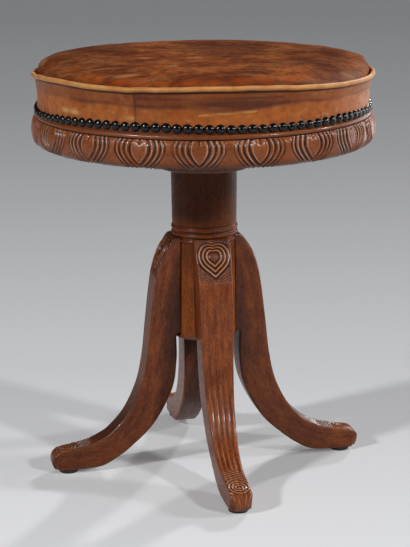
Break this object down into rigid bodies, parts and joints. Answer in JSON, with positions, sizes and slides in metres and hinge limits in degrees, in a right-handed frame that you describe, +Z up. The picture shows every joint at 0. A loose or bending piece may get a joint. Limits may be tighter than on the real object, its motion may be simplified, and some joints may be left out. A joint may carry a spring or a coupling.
{
  "type": "revolving piano stool",
  "caption": "Revolving piano stool: a round nailed-leather seat on a screw spindle that rises as it turns, a turned column and four sabre legs.",
  "frame": {"origin": "on the column's axis at floor level, under the middle of the four glides", "axes": "+Z up along the column and the screw; -Y towards the front leg; +X towards the right leg"},
  "size_m": [0.4, 0.4, 0.4973],
  "materials": {
    "leg_wood": "french-polished hardwood, reddish brown, worn glossy on the edges",
    "column_wood": "french-polished hardwood, very dark brown",
    "apron_wood": "carved and stained hardwood, satin, pale where worn",
    "inner_wood": "unpolished secondary wood",
    "top_leather": "aged sheepskin, scuffed and mottled chestnut",
    "band_leather": "aged tan leather",
    "piping_leather": "light tan leather piping",
    "horsehair": "stuffing under a linen scrim",
    "black_nails": "gloss black enamelled domes",
    "steel": "bright turned steel, lightly oiled",
    "iron": "dark cast iron",
    "glide_black": "black rubber"
  },
  "bodies": {
    "pedestal": {"column": "column_wood", "base_cap": "leg_wood", "spindle_nut": "iron", "nut_screws": "steel", "leg_dowels": "inner_wood", "leg_right": "leg_wood", "leg_back": "leg_wood", "leg_left": "leg_wood", "leg_front": "leg_wood", "glide_right": "glide_black", "glide_back": "glide_black", "glide_left": "glide_black", "glide_front": "glide_black", "glide_nails": "steel"},
    "washer": {"thrust_washer": "steel"},
    "seat": {"spindle": "steel", "stop_washer": "steel", "stop_screw": "steel", "spindle_plate": "iron", "plate_screws": "steel", "boss": "apron_wood", "boss_screws": "steel", "seat_board": "inner_wood", "apron": "apron_wood", "bead": "apron_wood", "seat_drum": "inner_wood", "drum_screws": "steel", "stuffing": "horsehair", "side_band": "band_leather", "top_cover": "top_leather", "piping": "piping_leather", "nails": "black_nails"}
  },
  "joints": [
    {"name": "seat_turn", "type": "hinge", "parent": "pedestal", "child": "washer", "pos_m": [0, 0, 0.3645], "axis": [0, 0, 1], "range_deg": [0, 3880]},
    {"name": "seat_rise", "type": "slide", "parent": "washer", "child": "seat", "axis": [0, 0, 1], "range_m": [0, 0.108]}
  ],
  "couplings": [
    {"joint": "seat_rise", "follows": "seat_turn", "m_per_rad": 0.0015915}
  ]
}
